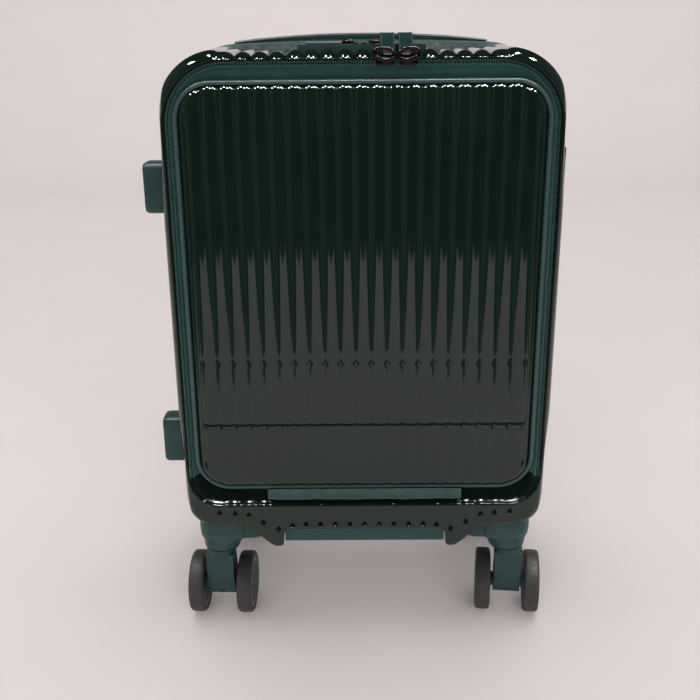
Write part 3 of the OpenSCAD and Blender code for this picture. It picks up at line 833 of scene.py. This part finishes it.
def door_teeth(name, inset, slant, body):
    row = teeth(ring_path(OPEN, -TAPE_Y), DOOR_PITCH, inset, DOOR_TOOTH, slant, lambda c: c.z > SEAM_Z)
    return piece(name, [(row, TEETH)], body, angle=45)


row = door_teeth("door_zip_teeth_front", 1.9, 0.5, "front_half")
# The door zip tape carries the painted shade under the lip and teeth.
tape = piece("door_zip_tape_front", [(tape_part, ZIP_TAPE_SHADE)], "front_half", ["door_zip_tape"],
             angle=40)


def gusset_part():
    """Fabric from the bead to the inner row of teeth, puffed up a little."""
    bead = [v + s * BEAD_W for v, s in zip(DOOR, (1, -1, 1, 1, 1))]
    rows = []
    for x, z, nx, nz in run_above(OPEN, SEAM_Z):
        a = Vector((x - nx * (COIL + 0.2), 0, z - nz * (COIL + 0.2)))
        bx, bz = outline_nearest(a.x, a.z, bead)
        b = Vector((bx, 0, bz))
        if outline_distance(a.x, a.z, bead) < 0.3:
            b = a - Vector((nx, 0, nz)) * 0.3
        row = [(a.x, -106.2, a.z)]
        for k in range(8):
            t = k / 7
            p = a.lerp(b, t)
            lift = 1.1 * math.sin(math.pi * smooth((t - 0.22) / 0.78)) * min(1.0, (a - b).length / 6)
            row.append((p.x, -107.4 - lift, p.z))
        row.append((b.x, -102.8, b.z))
        rows.append(row)
    return grid(rows)


row = door_teeth("door_gusset_teeth", 4.6, -0.5, "door")
part = gusset_part()
gusset = piece("door_gusset_fabric", [(part, FABRIC)], "door", ["door_gusset"], angle=60)

# ---- the main zip between the halves ----

case_path = [(px, pz, -dx, -dz) for (px, pz), (dx, dz), *_ in STATIONS]
WELT = [(3.2, 14, 0), (2.3, 13.8, 0), (2.1, 6.4, 0), (1.6, 5.7, 0.15), (1.2, 4.6, 0.55), (0.9, 3, 0.85),
        (0.8, 1.6, 1), (0.8, 0.45, 1), (3.2, 0.45, 1)]
WELT_RISE = 3.4


def welt_rise(x, z):
    return WELT_RISE * max(0.0, 1 - (x / 132) ** 2) if z > TOP_Z - 60 else 0.0


def main_tape(side):
    rows = []
    for inset, y, share in WELT:
        row = []
        for x, z, nx, nz in case_path:
            i = inset - share * welt_rise(x, z)
            if side < 0 and y > 4 and nz > 0.5:
                i += top_drop(x)
            row.append((x - nx * i, side * y, z - nz * i))
        rows.append(row)
    return grid(rows, closed=True, flip=side > 0)


HINGE = box_mm("main_hinge_tape")


def zipped(c):
    return not (c.x < -HALF_W + 8 and HINGE[0][2] - 6 < c.z < HINGE[1][2] + 6)


for side, half in ((-1, "front"), (1, "rear")):
    node, body = half + "_zip_tape", half + "_half"
    path = []
    for px, pz, nx, nz in case_path:
        i = 0.9 - welt_rise(px, pz)
        at = Vector((px - nx * i, side * 1.7, pz - nz * i))
        path.append((at, Vector((0, side, 0)), Vector((nx, 0, nz))))
    row = barrel(teeth(path, MAIN_PITCH, 0.0, MAIN_TOOTH, 0.3 * side, zipped))
    row = piece(node + "_teeth", [(row, TEETH)], body, angle=45)
    part = barrel(main_tape(side))
    tape = piece(node + "_woven", [(part, FABRIC)], body, [node], angle=45)

# ---- casters ----

TURN = [-2.5, -6.4, 4.0, -3.0]
CASTER_X, CASTER_Y, BOSS_X, WING_X = 139.5, 76.0, 136.5, 116.5
TRAIL, AXLE_Z, BOSS_Z = 10.0, 30.0, 78.4
WHEEL_IN, WHEEL_OUT, TYRE_IN_R, HUB_R = 16.3, 30.5, 25.4, 25.0
CORNERS = ["front_left", "front_right", "rear_left", "rear_right"]


def caster_frame(i):
    sx, sy = (-1 if i % 2 == 0 else 1), (-1 if i < 2 else 1)
    return sx, sy, shift(sx * CASTER_X, sy * CASTER_Y, 0) @ spin(math.radians(TURN[i]))


def housing(sx, sy):
    """Moulding over the caster: a boss that widens upwards, and a wing towards the leg of the shell."""
    y = sy * CASTER_Y
    boss = []
    for z, c, hx, hy, power in (
            (BOSS_Z, BOSS_X, 12, 12, 2), (78.5, BOSS_X, 15.4, 15.4, 2), (79.2, BOSS_X, 16.8, 16.8, 2),
            (80.6, BOSS_X, 17.4, 17.4, 2), (84, 136.1, 17.9, 18.4, 2.1), (88, 134.9, 19.4, 20.4, 2.3),
            (92, 133.2, 21.4, 23, 2.7), (95.5, 132.0, 22.8, 25.4, 3.1), (99, 131.8, 23.2, 27.2, 3.8),
            (104, 132, 23, 28, 4.4), (110, 132, 23, 28, 4.8)):
        boss.append(super_ring(sx * c, y, hx, hy, power, z))
    boss.append(super_ring(sx * 132, y, 23, 28, 4.8, lambda x: max(111.0, bottom_z(x) + 0.8)))
    wing = []
    for z, hx, hy in ((96.0, 19.6, 20.4), (96.4, 21.2, 21.6), (97.6, 22.0, 22.2), (101, 22.2, 22.6)):
        wing.append(super_ring(sx * WING_X, y, hx, hy, 5, z))
    wing.append(super_ring(sx * WING_X, y, 22.2, 22.8, 5, lambda x: max(102.0, bottom_z(x) + 0.8)))
    return loft(boss), loft(wing)


def tyre_part(inner, outer):
    """Tyre with squarish shoulders, turned about z."""
    half, mid, power = (outer - inner) / 2, (outer + inner) / 2, 4.6
    prof = []
    for k in range(17):
        a = math.pi * (k / 16 - 0.5)
        c, s = math.cos(a), math.sin(a)
        g = (abs(c) ** power + abs(s) ** power) ** (-1 / power)
        prof.append((TYRE_IN_R + (AXLE_Z - TYRE_IN_R) * g * c, mid + half * g * s))
    return lathe([(HUB_R + 0.1, inner + 0.9)] + prof + [(HUB_R + 0.1, outer - 0.9)], 72)


def hub_part(inner, outer):
    face = [(3.2, 2.0), (6.0, 1.8), (6.8, 1.1), (8.0, 0.9), (9.2, 1.5), (18.6, 1.5), (19.6, 0.8), (20.4, 0.4),
            (24.4, 0.4), (HUB_R, 1.0)]
    back = [(HUB_R, 1.0), (24.4, 0.5), (20.6, 0.5), (19.6, 2.0), (9.5, 2.6), (7.0, 0.8), (6.6, 13.4 - inner),
            (3.2, 13.4 - inner)]
    return lathe([(r, outer - z) for r, z in face] + [(r, inner + z) for r, z in back], 72)


def spokes(outer):
    parts = []
    for k in range(6):
        rings = [[(x * g + 13.4, y * g, outer - z) for x, y in rounded_ring(4.6, 1.5, 1.2)]
                 for z, g in ((2.0, 1.0), (1.1, 1.0), (0.8, 0.86))]
        parts.append(placed(loft(rings), spin(math.pi / 3 * k)))
    return joined(parts)


# Thin dark ring under each caster boss: painted shade for the shadowed gap between the boss and the fork.
SHADE_RING_SECTION = [(12.0, 0.4), (15.6, 0.3), (16.4, -0.3), (15.8, -0.9), (12.0, -0.9)]
CAP_SECTION = [(0.01, 1.0), (4.6, 1.1), (5.3, 1.5), (5.4, 3.2), (0.01, 3.3)]
for i, place in enumerate(CORNERS):
    sx, sy, at = caster_frame(i)
    boss, wing = housing(sx, sy)
    # Painted shade ring under the boss, in the dark colour.
    shade_ring = placed(lathe(SHADE_RING_SECTION), shift(sx * BOSS_X, sy * CASTER_Y, BOSS_Z + 0.3))
    piece(f"caster_housing_{place}_moulding", [(boss, TEAL), (wing, TEAL), (shade_ring, DARK_PLASTIC_AND_SHADE)],
          place.split("_")[0] + "_half", [f"caster_housing_{place}"])
    for side in (-1, 1):
        turn = at @ shift(0, TRAIL, AXLE_Z) @ spin(side * math.pi / 2, "Y")
        node = f"wheel_{place}_{'outer' if side == sx else 'inner'}"
        cap = lathe([(r, WHEEL_OUT - z) for r, z in CAP_SECTION])
        parts = [(tyre_part(WHEEL_IN, WHEEL_OUT), TYRE), (hub_part(WHEEL_IN, WHEEL_OUT), HUB),
                 (spokes(WHEEL_OUT), HUB), (cap, DARK_PLASTIC_AND_SHADE)]
        piece(node + "_turned", [(placed(part, turn), mat) for part, mat in parts],
              node, [node], angle=35)
    dress(f"fork_{place}", TEAL, 1.0)
    dress(f"axle_{place}", STEEL, 0.3)

# ---- side feet ----

FOOT_Y = 70.0
FOOT_Z = ((168.0, 212.0), (401.0, 444.0))
FOOT_RINGS = ((-160, 12, 0, 5), (-180.6, 12, 0, 5), (-183.4, 11.4, -0.6, 4.6), (-184.6, 10.4, -1.6, 4),
              (-185, 9, -3, 3.4))   # x, half width, change of half height, corner radius
for half, sy in (("front", -1), ("rear", 1)):
    parts = []
    for z0, z1 in FOOT_Z:
        rings = [[(x, sy * FOOT_Y + a, (z0 + z1) / 2 + b) for a, b in rounded_ring(hy, (z1 - z0) / 2 + hz, r)]
                 for x, hy, hz, r in FOOT_RINGS]
        parts.append((loft(rings), TEAL))
    piece(half + "_side_feet_moulded", parts, half + "_half", [half + "_side_feet"])

# ---- zip sliders and pulls ----

SLIDER_X = (19.4, 33.6)
MAIN_SLIDER_X, PULL_LENGTH = 12.0, 44.0
PULL_PATH = [(-86.6, 541.2), (-89.5, 543.8), (-93.5, 545.2), (-98.5, 545.0), (-103.5, 543.3),
             (-108.0, 540.2), (-112.0, 536.0), (-115.0, 531.5)]


def pull_frames(lift=0.0):
    """Frames along a strap pull, from the lock down to the slider."""
    frames = []
    for k in range(29):
        t = k / 28 * (len(PULL_PATH) - 1)
        n = min(int(t), len(PULL_PATH) - 2)
        a, b = PULL_PATH[n], PULL_PATH[n + 1]
        y, z = mix(a[0], b[0], t - n), mix(a[1], b[1], t - n)
        d = Vector((0, b[0] - a[0], b[1] - a[1])).normalized()
        up = Vector((0, d.z, -d.y))
        frames.append((Vector((0, y, z)) + up * lift, Vector((1, 0, 0)), up))
    return frames


for side, word, x in ((-1, "left", SLIDER_X[0]), (1, "right", SLIDER_X[1])):
    out = side * 2.3
    body = f"door_slider_{word}"
    parts = [(placed(block(7.2, 3.7, 1.9, 0, 4.6, 0.9), facing(x + out * 0.9, -108.9, 525.8)), GUNMETAL),
             (placed(block(2.2, 3.0, 1.0, 4.2, 7.4, 0.6), facing(x + out * 0.6, -108.9, 526.6)), GUNMETAL),
             (placed(bail(8.2, 4.3, 1.85), facing(x + out, -115.6, 530.6, side * 0.16)), GUNMETAL)]
    piece(body + "_cast", parts, body, [body])
    node, at = f"door_puller_{word}", shift(x, 0, 0)
    strap = placed(sweep(pull_frames(), rounded_ring(5.6, 0.85, 0.6)), at)
    trims = []
    for sx in (-1, 1):
        edge = sweep(pull_frames(0.9), [(sx * 4.9 + a, b) for a, b in rounded_ring(0.5, 0.22, 0.2, 3)])
        trims.append((placed(edge, at), EDGE))
    metal = placed(block(3.4, 2.2, 0.9, -1.4, 1.4, 0.5), facing(x, -115.6, 532.4))
    trim = piece(node + "_stitched_edge", trims + [(metal, STEEL)], node)
    obj = piece(node + "_strap", [(strap, STRAP)], node, [node])
    at, body = shift(side * MAIN_SLIDER_X, 0, TOP_Z + WELT_RISE - 3.0), f"main_slider_{word}"
    parts = [(placed(block(5.6, 4.6, 2.0, 0.2, 3.2, 0.9), at), GUNMETAL),
             (placed(block(4.0, 1.4, 0.8, 2.8, 4.2, 0.5), at), GUNMETAL)]
    piece(body + "_cast", parts, body, [body])

# ---- fabric at the two hinges ----

FLAP_X = 87.0
FLAP_LINE = [(-112.5, 145.4), (-115.0, 146.2), (-117.0, 147.8), (-117.7, 150.0), (-117.5, 152.6),
             (-117.0, 155.2), (-115.6, 157.0)]
rows = []
for k in range(59):
    x = mix(-FLAP_X, FLAP_X, k / 58)
    end = smooth(min(k, 58 - k) / 3)
    wave = 0.35 * math.sin(x / 8.5) + 0.25 * math.sin(x / 3.7 + 1)
    rows.append([(x, y + wave * (1 if 0 < j < 6 else 0), mix(152, z, mix(0.9, 1, end)))
                 for j, (y, z) in enumerate(FLAP_LINE)])
flap = grid(rows)
obj = piece("door_hinge_flap_woven", [(flap, FABRIC)], "door", ["door_hinge_flap"],
            angle=40, solid=1.0, ride=False)
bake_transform(obj)

HINGE_X = -161.3
rows = []
for k in range(55):
    z = mix(HINGE[0][2], HINGE[1][2], k / 54)
    rows.append([(HINGE_X + 0.25 * math.sin(z / 11) * math.cos(y / 4), y, z)
                 for y in (-13.5, -11, -7, -3, 0, 3, 7, 11, 13.5)])
strip = grid(rows)
obj = piece("main_hinge_tape_woven", [(strip, FABRIC)], "rear_half", ["main_hinge_tape"],
            angle=40, solid=0.8, ride=False)
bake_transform(obj)

# ---- linings, pads and packing straps ----


LINING_GAP, LINING_FLOOR, PAN_R, MIDDLE_Z = 4.2, 119.5, 13.0, 325.0


def pan(side, y0, y1, holes):
    """Fabric lining of one half: walls with soft ripples and a back."""
    rows = []

    def ring(y, inset, floor):
        rows.append([(x - nx * inset(x, z), side * y, max(z - nz * inset(x, z), floor))
                     for x, z, nx, nz in case_path[::2]])

    for k in range(12):
        ripple = 0.7 * math.sin(math.pi * k / 11)
        ring(mix(y0, y1 - PAN_R, k / 11),
             lambda x, z: LINING_GAP + ripple * math.sin(x * 0.13 + z * 0.09), LINING_FLOOR)
    for k in range(1, 6):
        a = math.pi / 2 * k / 5
        ring(y1 - PAN_R + PAN_R * math.sin(a), lambda x, z: LINING_GAP + PAN_R * (1 - math.cos(a)),
             LINING_FLOOR + PAN_R * k / 5)
    rim = rows[-1]
    for share in (0.95, 0.88, 0.8, 0.7, 0.58, 0.45, 0.3, 0.15, 0.02):
        row = []
        for x, y, z in rim:
            x, z = x * share, mix(MIDDLE_Z, z, share)
            row.append((x, y - side * 0.8 * math.sin(x * 0.05 + 1) * math.sin(z * 0.045) * (1 - share), z))
        rows.append(row)
    return cut_faces(grid(rows, closed=True, flip=side > 0), holes)


def rear_holes(x, y, z):
    mount = 97 < abs(x) < 121 and y < 51 and z > 500
    guide = x > 150 and y < 34 and min(abs(z - 324), abs(z - 436)) < 12
    return mount or guide


for half, side, back_y, holes in (("rear", 1, 84.4, rear_holes), ("front", -1, 57.4, lambda x, y, z: False)):
    part = barrel(pan(side, 16.0, back_y, holes))
    obj = piece(half + "_lining_cloth", [(part, LINING)], half + "_half", [half + "_lining"],
                angle=70)


def pad(name, hx, z0, z1, r, y, thick, seams, body):
    """Quilted pad: a thin closed form that cloth pressure swells between its sewn channels."""
    nx, nz = 56, 64
    front, back = [], []
    for k in range(nz + 1):
        z = mix(z0, z1, k / nz)
        edge = min(z - z0, z1 - z)
        half = hx - (r - math.sqrt(max(0.0, r * r - (r - edge) ** 2)) if edge < r else 0.0)
        row_a, row_b = [], []
        for c in range(nx + 1):
            x = mix(-half, half, c / nx)
            rim = min(1.0, min(edge, half - abs(x)) / 4)
            t = thick / 2 * math.sqrt(max(0.0, 1 - (1 - max(rim, 0)) ** 2))
            row_a.append((x, y + thick / 2 - t, z))
            row_b.append((x, y + thick / 2 + t, z))
        front.append(row_a)
        back.append(row_b)
    rows = [a + b[::-1] for a, b in zip(front, back)]
    part = grid(rows, closed=True)
    n = 2 * (nx + 1)
    for first in (0, (len(rows) - 1) * n):
        part[1].extend((first + c, first + c + 1, first + n - 2 - c, first + n - 1 - c) for c in range(nx))
    obj = piece(name, [(part, LINING)], body, angle=60)
    group = obj.vertex_groups.new(name="sewn")
    for v in obj.data.vertices:
        x, z = v.co.x / MM, v.co.z / MM
        if min(z - z0, z1 - z, hx - abs(x)) < 2.5 or any(abs(abs(x) - s) < 1.6 for s in seams):
            group.add([v.index], 1.0, "REPLACE")
    swell(obj)
    return obj


SWELL_CAP, SWELL_FRAMES = 2.4 * MM, 16


def swell(obj):
    """Cloth pressure for a few steps, with a cap on how far a point may move."""
    scene = bpy.context.scene
    rest = [v.co.copy() for v in obj.data.vertices]
    cloth = obj.modifiers.new("cloth", "CLOTH")
    cloth.settings.use_pressure = True
    cloth.settings.uniform_pressure_force = 4
    cloth.settings.quality = 5
    cloth.settings.effector_weights.gravity = 0
    cloth.settings.vertex_group_mass = "sewn"
    cloth.point_cache.frame_start, cloth.point_cache.frame_end = 1, SWELL_FRAMES
    for f in range(1, SWELL_FRAMES + 1):
        scene.frame_set(f)
    shape = obj.evaluated_get(bpy.context.evaluated_depsgraph_get())
    moved = [v.co.copy() for v in shape.data.vertices]
    obj.modifiers.remove(cloth)
    for v, a, b in zip(obj.data.vertices, rest, moved):
        d = b - a
        v.co = a + (d if d.length < SWELL_CAP else d.normalized() * SWELL_CAP)
    scene.frame_set(1)


door_pad = pad("door_lining_pad", 138.0, 169.0, 499.0, 18.0, -109.6, 4.0, (23, 69, 115), "door")
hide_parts("door_lining")
pad("divider_pad", 146.0, 142.0, 508.0, 30.0, -57.0, 4.4, (0, 48.7, 97.3), "front_half")

STRAP_HALF, STRAP_TILT, BUCKLE_Y = 190.0, math.radians(52), 20.2
parts, trims = [], []
for side, y in ((1, 22.0), (-1, 20.4)):
    turn = shift(0, y, MIDDLE_Z) @ spin(STRAP_TILT * side, "Y")
    frames = [(Vector((mix(-STRAP_HALF, STRAP_HALF, k / 60), 1.8 * math.sin(math.pi * k / 30) ** 2, 0)),
               Vector((0, 0, 1)), Vector((0, 1, 0))) for k in range(61)]
    parts.append((placed(sweep(frames, rounded_ring(12.5, 0.6, 0.5)), turn), STRAP))
    for s in (-1, 1):
        hem = [(p + Vector((0, -0.62, s * 10.6)), a, b) for p, a, b in frames]
        trims.append((placed(sweep(hem, rounded_ring(0.45, 0.16, 0.14, 3)), turn), EDGE))
for s in (-1, 1):
    trims += [(placed(block(12.4, 18.6, 4.5, 0, 3.2, 1.0), facing(s * 13, BUCKLE_Y, MIDDLE_Z)), DARK_PLASTIC_AND_SHADE),
              (placed(block(1.0, 12.5, 0.8, 3.0, 3.9, 0.4), facing(s * 18, BUCKLE_Y, MIDDLE_Z)), DARK_PLASTIC_AND_SHADE)]
trims.append((placed(block(6.0, 8.0, 2.5, 2.6, 4.4, 0.8), facing(0, BUCKLE_Y, MIDDLE_Z)), DARK_PLASTIC_AND_SHADE))
trim = piece("packing_buckle", trims, "rear_half")
both = joined([p for p, _ in parts])
obj = piece("packing_straps_woven", parts, "rear_half", ["packing_straps"])

# ---- CAD nodes that keep their shape ----

for mat, bevel, nodes in (
        (TEAL, 0.4, ["handle_mounts"]), (TEAL, 0.5, ["lock_housing"]), (TEAL, 0.6, ["handle_bezel"]),
        (TEAL, 0.8, ["pull_grip", "side_handle", "lock_button"]), (TEAL_DARK, 0.8, ["grip_button"]),
        (TEAL, 1.0, ["rear_bottom_bar", "front_bottom_bar"]), (TEAL, 1.2, ["top_handle"]),
        (ALLOY, 0.2, ["outer_tubes", "middle_tubes", "inner_tubes"]),
        (STEEL, 0.3, ["rear_screws", "front_screws"]),
        (GUNMETAL, 0.3, ["lock_dial_1", "lock_dial_2", "lock_dial_3"])):
    for node in nodes:
        dress(node, mat, bevel)

# ---- stage, lights and camera ----


FLOOR_FRONT, COVE_Y, COVE_R = -1.60, 2.4, 1.5
WIDE, NARROW = 4.0, 0.62
profile = [(FLOOR_FRONT, 0.0)] + [(mix(FLOOR_FRONT, COVE_Y, k / 40), 0.0) for k in range(1, 41)]
profile += [(COVE_Y + COVE_R * math.sin(a), COVE_R * (1 - math.cos(a)))
            for a in (math.radians(3 * k) for k in range(1, 27))]
mesh = bpy.data.meshes.new("floor")
halves = [mix(NARROW, WIDE, smooth((y + 0.5) / 0.9)) for y, z in profile]
mesh.from_pydata([(s * half, y, z) for (y, z), half in zip(profile, halves) for s in (-1, 1)], [],
                 [(2 * k, 2 * k + 1, 2 * k + 3, 2 * k + 2) for k in range(len(profile) - 1)])
mesh.materials.append(FLOOR)
mesh.shade_smooth()
floor = bpy.data.objects.new("floor", mesh)
bpy.context.scene.collection.objects.link(floor)

world = bpy.data.worlds.new("studio")
bpy.context.scene.world = world
world.use_nodes = True
nodes, link = world.node_tree.nodes, world.node_tree.links.new
back = nodes["Background"]
coord, split, side_wall, ramp, rays, pick = [nodes.new("ShaderNode" + kind) for kind in (
    "TexCoord", "SeparateXYZ", "Math", "ValToRGB", "LightPath", "Mix")]
side_wall.operation = "ABSOLUTE"
stops = ((0.52, (0.03, 0.033, 0.033, 1)), (0.80, (0.16, 0.17, 0.17, 1)))
for stop, (stop_at, colour) in zip(ramp.color_ramp.elements, stops):
    stop.position, stop.color = stop_at, colour
pick.data_type = "RGBA"
pick.inputs[6].default_value = (0.735, 0.695, 0.695, 1)
link(coord.outputs["Generated"], split.inputs[0])
link(split.outputs["X"], side_wall.inputs[0])
link(side_wall.outputs[0], ramp.inputs["Fac"])
link(rays.outputs["Is Glossy Ray"], pick.inputs[0])
link(ramp.outputs["Color"], pick.inputs[7])
link(pick.outputs[2], back.inputs["Color"])
back.inputs["Strength"].default_value = 1.0


WARM = (1, 0.97, 0.95)


def lamp(name, size, at, aim, power, glossy=True):
    data = bpy.data.lights.new(name, "AREA")
    data.shape, data.size, data.size_y = "RECTANGLE", *size
    data.energy, data.color = power, WARM
    obj = bpy.data.objects.new(name, data)
    bpy.context.scene.collection.objects.link(obj)
    obj.location = at
    obj.rotation_euler = (Vector(aim) - Vector(at)).to_track_quat("-Z", "Y").to_euler()
    obj.visible_glossy = glossy
    obj.visible_camera = False
    return obj


lamp("overhead", (3.0, 3.0), (0.0, 0.6, 3.0), (0, 0.1, 0), 26, glossy=False)
lamp("front_fill", (2.4, 1.6), (0.3, -2.4, 1.7), (0, 0, 0.3), 6, glossy=False)
floor_only = bpy.data.collections.new("floor_only")
floor_only.objects.link(floor)
for fill in (lamp("floor_fill", (5.0, 1.6), (0.0, -4.0, 1.8), (0, 0, 0), 125, glossy=False),
             lamp("cove_fill", (4.0, 1.2), (0.0, 2.0, 2.8), (0, 3.0, 0.4), 14, glossy=False)):
    fill.light_linking.receiver_collection = floor_only
for k, (x, y) in enumerate(((-1.5, -0.5), (-0.6, -0.1), (0.15, -0.7), (0.7, -0.2), (1.5, -0.5))):
    tube = lamp(f"tube_lamp_{k}", (0.42, 0.2), (x, y, 2.5), (x * 0.3, 0, 0.3), 42.0)
    tube.visible_diffuse = False

EYE = Vector((-6.3, -878.9, 557.9)) * MM
SENSOR, LENS_SHARE = 36.0, 947.2 / 700
pitch, yaw, roll = (math.radians(a) for a in (19.38, -0.41, -0.55))
forward = Vector((math.sin(yaw) * math.cos(pitch), math.cos(yaw) * math.cos(pitch), -math.sin(pitch)))
right = Vector((math.cos(yaw), -math.sin(yaw), 0))
up = right.cross(forward)
r2 = right * math.cos(roll) + up * math.sin(roll)
u2 = up * math.cos(roll) - right * math.sin(roll)
data = bpy.data.cameras.new("camera")
data.sensor_width, data.lens, data.clip_start = SENSOR, LENS_SHARE * SENSOR, 0.05
camera = bpy.data.objects.new("camera", data)
bpy.context.scene.collection.objects.link(camera)
aim = Matrix((r2, u2, -forward)).transposed().to_4x4()
aim.translation = EYE
camera.matrix_world = aim
bpy.context.scene.camera = camera
bpy.context.scene.view_settings.view_transform = "Standard"
